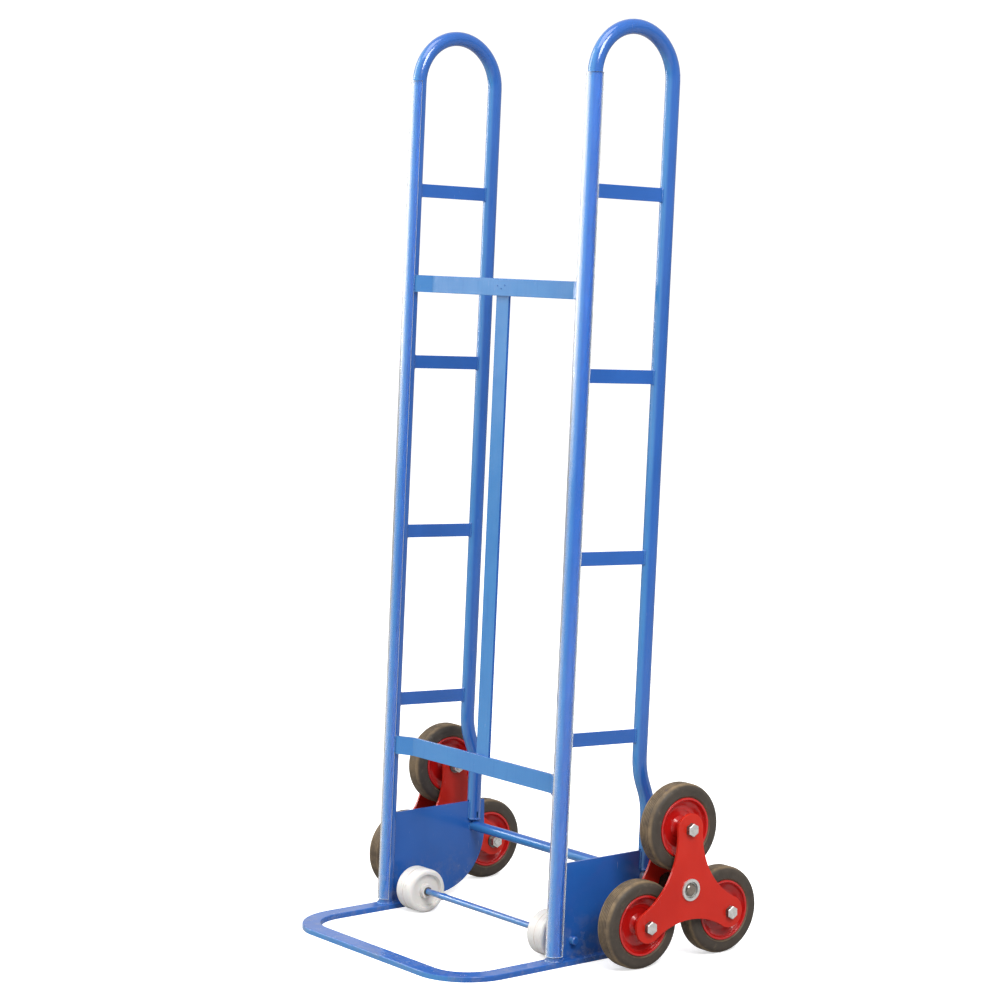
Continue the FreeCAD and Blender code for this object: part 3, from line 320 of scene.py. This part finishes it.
DULL_ZINC = (0.66, 0.65, 0.62)
ZINC_ROUGHNESS = 0.34
bolt_zinc = metal("bolt_zinc", BRIGHT_ZINC, DULL_ZINC, ZINC_ROUGHNESS, side_shade_and_dirt=0.9, dark_band=(0.325, 0.3932))
nut_zinc = metal("nut_zinc", BRIGHT_ZINC, DULL_ZINC, ZINC_ROUGHNESS, side_shade_and_dirt=0.7, dark_band=(0.3203, 0.330))
hub_zinc = metal("hub_zinc", SOFT_ZINC, DULL_ZINC, ZINC_ROUGHNESS, stain=0.3, dark_band=(0.300, 0.3915))
plain_zinc = metal("plain_zinc", SOFT_ZINC, DULL_ZINC, ZINC_ROUGHNESS, stain=0.3)
dark_steel = metal("dark_steel", (0.30, 0.285, 0.26), (0.16, 0.145, 0.125), rough=0.42, stain=0.5)
guard_plastic = clear_plastic("clear_guard_plastic")
guard_edge = cut_plastic("cut_guard_edge")


def finish_for(node):
    """The material of a part that came from the frame."""
    if node.endswith("guard"):
        return guard_plastic
    if node.endswith("tyre"):
        return tyre_rubber
    if node.endswith("rim"):
        return red_rim
    if node.endswith("star_plate"):
        return red_star
    if node == "toe_loop":
        return blue_toe
    if node.endswith("nose_wheel"):
        return white_nylon
    if node == "main_axle":
        return blue_axle
    if node.endswith("bolts"):
        return bolt_zinc
    if node.endswith("nuts"):
        return nut_zinc
    if node.endswith("cluster_hub"):
        return hub_zinc
    if node.endswith(("washers", "spacers")):
        return plain_zinc
    if node.endswith(("bush", "bushes", "circlips")):
        return dark_steel
    if node.endswith(("upright", "hoop_tube", "nose_axle")):
        return blue_tube
    return blue_flat


def tube_axis(side):
    """Middle of a front upright: x and y of its foot on the floor plane, and its radius."""
    low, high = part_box(f"{side}_upright")
    radius = (high.x - low.x) / 2
    length = (high.z + radius * BACK.z) / UP.z
    foot = high.y - radius * BACK.y - length * UP.y
    return (low.x + high.x) / 2, foot, radius


def mark_guard_edges(side):
    """Give the cut faces of a clear guard their own finish."""
    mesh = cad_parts[f"{side}_upright_guard"].data
    mesh.materials.append(guard_edge)
    x, foot, _ = tube_axis(side)
    for face in mesh.polygons:
        out = face.center - Vector((x, foot, 0))
        out -= out.dot(UP) * UP
        if abs(face.normal.dot(out.normalized())) < 0.5:
            face.material_index = 1


def finish_frame_parts():
    for name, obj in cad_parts.items():
        obj.data.materials.clear()
        obj.data.materials.append(finish_for(name))
    for side in SIDES:
        mark_guard_edges(side)


# ---------------------------------------------------------------- weld beads

BEAD_STEP = 0.0012
BEAD_CORNERS = 8
RIPPLE = 0.16
RIPPLE_TURN = 1.9
UNEVENNESS = 0.14
WANDER = 0.12
INSET = 0.0006
# Along BACK: the depth of a cranked crossbar, and how far its middle lies behind the tubes' middle plane.
CROSSBAR_DEPTH = 0.0215
CROSSBAR_MIDDLE = 0.0083
# Along BACK from that plane: just behind the crossbar's rear face, and just in front of its front face.
STRIP_WELD_BACK = 0.0194
PLUG_WELD_BACK = 0.0139


def resample(points, step):
    """Points spaced evenly along a polyline."""
    gaps = [(b - a).length for a, b in zip(points, points[1:])]
    count = max(4, round(sum(gaps) / step))
    result = []
    place, index = 0.0, 0
    for number in range(count + 1):
        target = sum(gaps) * number / count
        while index < len(gaps) - 1 and place + gaps[index] < target:
            place += gaps[index]
            index += 1
        share = (target - place) / gaps[index] if gaps[index] else 0
        result.append(points[index].lerp(points[index + 1], min(1, share)))
    return result


def add_bead(shape, points, radius, chance):
    """One run of weld: overlapping ripples, uneven in width and height, along a polyline."""
    points = resample(points, BEAD_STEP)
    closed = (points[0] - points[-1]).length < 1e-6
    if closed:
        points = points[:-1]
    phase = chance.uniform(0, 6)
    rings = []
    for number, point in enumerate(points):
        after = points[(number + 1) % len(points)] if closed else points[min(number + 1, len(points) - 1)]
        before = points[number - 1] if closed or number else points[0]
        along = (after - before).normalized()
        first = along.orthogonal().normalized()
        second = along.cross(first)
        wave = RIPPLE * math.sin(number * RIPPLE_TURN + phase)
        ripple = 1 + wave + chance.uniform(-UNEVENNESS, UNEVENNESS)
        taper = 1.0 if closed else min(1.0, 0.35 + 0.3 * min(number, len(points) - 1 - number))
        size = radius * ripple * taper
        shift = Vector([chance.uniform(-WANDER, WANDER) * radius for _ in range(3)])
        turn = [2 * math.pi * step / BEAD_CORNERS for step in range(BEAD_CORNERS)]
        rings.append([shape.verts.new(point + shift + size * (first * math.cos(a) + second * math.sin(a)))
                      for a in turn])
    pairs = list(zip(rings, rings[1:]))
    if closed:
        pairs.append((rings[-1], rings[0]))
    for ring, following in pairs:
        # Neighbouring rings may start at different corners, so each is matched to the nearest one.
        start = min(range(BEAD_CORNERS), key=lambda k: (following[k].co - ring[0].co).length)
        matched = following[start:] + following[:start]
        if (matched[1].co - ring[1].co).length > (matched[-1].co - ring[1].co).length:
            matched = [matched[0]] + matched[:0:-1]
        for corner in range(BEAD_CORNERS):
            near, far = (corner + 1) % BEAD_CORNERS, corner
            shape.faces.new((ring[far], ring[near], matched[near], matched[far]))
    if not closed:
        shape.faces.new(rings[0][::-1])
        shape.faces.new(rings[-1])


def make_weld(name, runs, radius, seed):
    """A welded seam that belongs to the frame, painted over in the frame's blue."""
    chance = random.Random(seed)
    shape = bmesh.new()
    for points in runs:
        add_bead(shape, points, radius, chance)
    bmesh.ops.recalc_face_normals(shape, faces=shape.faces)
    mesh = bpy.data.meshes.new(name)
    shape.to_mesh(mesh)
    shape.free()
    mesh.shade_smooth()
    mesh.materials.append(blue_tube)
    weld = bpy.data.objects.new(name, mesh)
    bpy.context.scene.collection.objects.link(weld)
    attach(weld, "frame")


def arc(centre, first, second, start=0.0, end=360.0):
    """Points from start to end degrees on the ellipse spanned by two half-axes."""
    count = 48
    turns = [math.radians(start + (end - start) * k / count) for k in range(count + 1)]
    return [centre + first * math.cos(a) + second * math.sin(a) for a in turns]


def loop(centre, first, second):
    """Closed rectangle spanned by two half-edges."""
    turns = ((1, 1), (-1, 1), (-1, -1), (1, -1), (1, 1))
    return [centre + first * a + second * b for a, b in turns]


def leaning_size(node):
    """Half-length front to back, and half-width up the tube, of a rung."""
    low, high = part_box(node)
    span, rise = high.y - low.y, high.z - low.z
    flat = UP.z ** 2 - UP.y ** 2
    return (span * UP.z - rise * UP.y) / flat / 2, (rise * UP.z - span * UP.y) / flat / 2


def weld_rungs():
    for side in SIDES:
        for number in RUNGS:
            node = f"{side}_rung_{number}"
            low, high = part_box(node)
            centre = (low + high) / 2
            half_length, half_width = leaning_size(node)
            across = ACROSS * ((high.x - low.x) / 2 + 0.0004)
            ends = [loop(centre + BACK * half_length * sign, across, UP * half_width) for sign in (-1, 1)]
            make_weld(f"{node}_weld", ends, radius=0.0017, seed=number + 10 * len(side))


def weld_crossbars():
    on_face, past_face = 0.0029, 0.0030
    share = 0.48
    for level in ("lower", "upper"):
        low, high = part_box(f"{level}_crossbar")
        _, foot, _ = tube_axis("right")
        middle = ((low.z + high.z) / 2 + CROSSBAR_MIDDLE * UP.y) / UP.z
        width = (high.z - low.z - CROSSBAR_DEPTH * UP.y) / UP.z
        runs = []
        for sign in (-1, 1):
            for offset in (-on_face, on_face):
                centre = Vector((sign * high.x, foot, 0)) + UP * middle + BACK * offset
                runs.append([centre - UP * width * share, centre + UP * width * share])
            for end in (-0.5, 0.5):
                centre = Vector((sign * high.x, foot, 0)) + UP * (middle + width * end)
                runs.append([centre - BACK * past_face, centre + BACK * past_face])
        make_weld(f"{level}_crossbar_weld", runs, radius=0.0019, seed=40 + len(runs) + len(level))


def weld_strip():
    below, above = 0.014, 0.013
    half_plug = 0.0018
    half_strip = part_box("centre_strip")[1].x
    _, foot, _ = tube_axis("right")
    for level in ("lower", "upper"):
        bar_low, bar_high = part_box(f"{level}_crossbar")
        middle = (bar_low.z + bar_high.z) / 2 / UP.z
        runs = []
        for sign in (-1, 1):
            centre = Vector((sign * half_strip, foot, 0)) + BACK * STRIP_WELD_BACK + UP * middle
            runs.append([centre - UP * below, centre + UP * above])
        make_weld(f"centre_strip_{level}_weld", runs, radius=0.0017, seed=60 + len(level))
    bar_low, bar_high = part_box("upper_crossbar")
    face = (bar_low.z + bar_high.z) / 2 / UP.z
    runs = []
    for across, up in ((-0.011, 0.003), (0.001, -0.002), (0.012, 0.004)):
        centre = Vector((across, foot, 0)) + BACK * PLUG_WELD_BACK + UP * (face + up)
        runs.append([centre - ACROSS * half_plug, centre + ACROSS * half_plug])
    make_weld("strip_plug_weld", runs, radius=0.0015, seed=71)


def leg_end(side):
    """Middle of the cut end of a rear leg."""
    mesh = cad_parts[f"{side}_hoop_tube"].data
    lowest = min(v.co.z for v in mesh.vertices)
    ring = [v.co for v in mesh.vertices if v.co.z < lowest + 0.003]
    xs = [co.x for co in ring]
    ys = [co.y for co in ring]
    return Vector(((min(xs) + max(xs)) / 2, (min(ys) + max(ys)) / 2, lowest + 0.001))


def weld_legs():
    axle_low, axle_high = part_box("main_axle")
    axle = (axle_low + axle_high) / 2
    axle_radius = (axle_high.z - axle_low.z) / 2
    for side in SIDES:
        low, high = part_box(f"{side}_side_plate")
        _, _, radius = tube_axis(side)
        end = leg_end(side)
        runs = []
        for sign in (-1, 1):
            # Along the slit, in front of the leg and behind it, on both faces of the plate.
            for face in (low.x - INSET, high.x + INSET):
                base = Vector((face, end.y, end.z)) + BACK * (radius - INSET) * sign
                runs.append([base, base + UP * (high.z - end.z - 0.001)])
        # Round the leg's cut end, in two halves beside the plate.
        gap = 14
        for start in (gap - 90, gap + 90):
            reach = radius - INSET
            runs.append(arc(end, ACROSS * reach, BACK * reach, start, start + 180 - 2 * gap))
        make_weld(f"{side}_leg_weld", runs, radius=0.0021, seed=80 + len(side))
        reach = axle_radius + INSET
        around = [arc(Vector((face, axle.y, axle.z)), Vector((0, reach, 0)), Vector((0, 0, reach)), -200, 20)
                  for face in (low.x, high.x)]
        make_weld(f"{side}_axle_weld", around, radius=0.0017, seed=90 + len(side))


def weld_plates():
    # Along the toe loop the weld stops where the plate's round lower rear corner begins.
    past_corner = 0.122
    proud = 0.0004
    for side in SIDES:
        low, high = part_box(f"{side}_side_plate")
        x, foot, radius = tube_axis(side)
        toe_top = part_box("toe_loop")[1].z
        front = Vector((0, foot, 0)) + BACK * (radius + 0.0002)
        runs = []
        for face in (low.x - proud, high.x + proud):
            across = ACROSS * face
            runs.append([front + across + UP * (toe_top + 0.004), front + across + UP * (high.z - 0.003)])
            runs.append([Vector((face, low.y + 0.004, toe_top + proud)),
                         Vector((face, high.y - past_corner, toe_top + proud))])
        make_weld(f"{side}_plate_weld", runs, radius=0.0013, seed=100 + len(side))
        centre = Vector((x, foot, 0)) + UP * (toe_top + 0.0002)
        ring = arc(centre, ACROSS * (radius + 0.0003), Vector((0, radius + 0.0003, 0)))
        make_weld(f"{side}_foot_weld", [ring], radius=0.0030, seed=110 + len(side))


# ---------------------------------------------------------------- camera, floor and light

def point_at(obj, target):
    obj.rotation_euler = (Vector(target) - obj.location).to_track_quat("-Z", "Y").to_euler()


def make_camera():
    data = bpy.data.cameras.new("camera")
    camera = bpy.data.objects.new("camera", data)
    bpy.context.scene.collection.objects.link(camera)
    forward = Vector((-0.79442, 0.59562, -0.11889))
    camera.location = (4.18036, -3.15382, 1.37268)
    point_at(camera, camera.location + forward)
    roll = Matrix.Rotation(math.radians(0.13), 3, "Z")
    camera.rotation_euler = (camera.rotation_euler.to_matrix() @ roll).to_euler()
    data.lens = 102.59
    data.shift_x = 0.00798
    data.shift_y = 0.03588
    bpy.context.scene.camera = camera


def make_floor():
    mesh = bpy.data.meshes.new("floor")
    shape = bmesh.new()
    bmesh.ops.create_circle(shape, cap_ends=True, segments=64, radius=60.0)
    shape.to_mesh(mesh)
    shape.free()
    floor = bpy.data.objects.new("floor", mesh)
    bpy.context.scene.collection.objects.link(floor)
    p = Paint("floor_paper")
    white = p.mix(p.noise(1.3, 2.0), (0.86, 0.86, 0.86, 1), (0.89, 0.89, 0.89, 1))
    grey = p.mix(p.noise(1.3, 2.0), (0.40, 0.40, 0.40, 1), (0.43, 0.43, 0.43, 1))
    seen = p.add("ShaderNodeLightPath").outputs["Is Camera Ray"]
    glow = p.math("MULTIPLY", seen, 0.55)
    mesh.materials.append(p.set(Base_Color=p.mix(seen, grey, white), Roughness=0.9, Specular_IOR_Level=0.0,
                                Emission_Color=(1, 1, 1, 1), Emission_Strength=glow))


def make_light(name, where, target, size, power):
    data = bpy.data.lights.new(name, "AREA")
    data.shape = "RECTANGLE"
    data.size, data.size_y = size
    data.energy = power
    light = bpy.data.objects.new(name, data)
    bpy.context.scene.collection.objects.link(light)
    light.location = where
    light.visible_camera = False
    point_at(light, target)


def make_world():
    """A white backdrop for the camera, and for everything else a room that is brighter towards the left."""
    world = bpy.data.worlds.new("studio")
    world.use_nodes = True
    tree = world.node_tree
    room = tree.nodes["Background"]
    room.inputs["Color"].default_value = (1, 1, 1, 1)
    paper = tree.nodes.new("ShaderNodeBackground")
    paper.inputs["Color"].default_value = (1, 1, 1, 1)
    paper.inputs["Strength"].default_value = 1.1
    seen = tree.nodes.new("ShaderNodeLightPath")
    choice = tree.nodes.new("ShaderNodeMixShader")
    way = tree.nodes.new("ShaderNodeTexCoord")
    leftwards = tree.nodes.new("ShaderNodeVectorMath")
    leftwards.operation = "DOT_PRODUCT"
    leftwards.inputs[1].default_value = (-0.80, -0.60, 0.0)
    wall = tree.nodes.new("ShaderNodeMapRange")
    wall.inputs["From Min"].default_value = -0.2
    wall.inputs["From Max"].default_value = 0.9
    wall.inputs["To Min"].default_value = 0.52
    wall.inputs["To Max"].default_value = 1.05
    tree.links.new(way.outputs["Generated"], leftwards.inputs[0])
    tree.links.new(leftwards.outputs["Value"], wall.inputs["Value"])
    tree.links.new(wall.outputs["Result"], room.inputs["Strength"])
    tree.links.new(seen.outputs["Is Camera Ray"], choice.inputs["Fac"])
    tree.links.new(room.outputs["Background"], choice.inputs[1])
    tree.links.new(paper.outputs["Background"], choice.inputs[2])
    tree.links.new(choice.outputs["Shader"], tree.nodes["World Output"].inputs["Surface"])
    bpy.context.scene.world = world


def make_studio():
    make_world()
    make_light("left_strip", where=(-3.5, -1.75, 1.75), target=(0.1, 0, 1.3), size=(0.22, 1.5), power=22)
    make_light("left_softbox", where=(-4.8, -3.9, 4.4), target=(0, 0, 0.8), size=(2.4, 3.3), power=115)
    make_light("right_softbox", where=(5.0, -0.9, 4.8), target=(0, 0, 0.7), size=(2.7, 2.7), power=300)
    make_light("top_softbox", where=(0.9, -1.5, 6.2), target=(0, 0, 0.8), size=(3.6, 3.6), power=150)
    bpy.context.scene.view_settings.view_transform = "Standard"


finish_frame_parts()
weld_rungs()
weld_crossbars()
weld_strip()
weld_legs()
weld_plates()
make_camera()
make_floor()
make_studio()
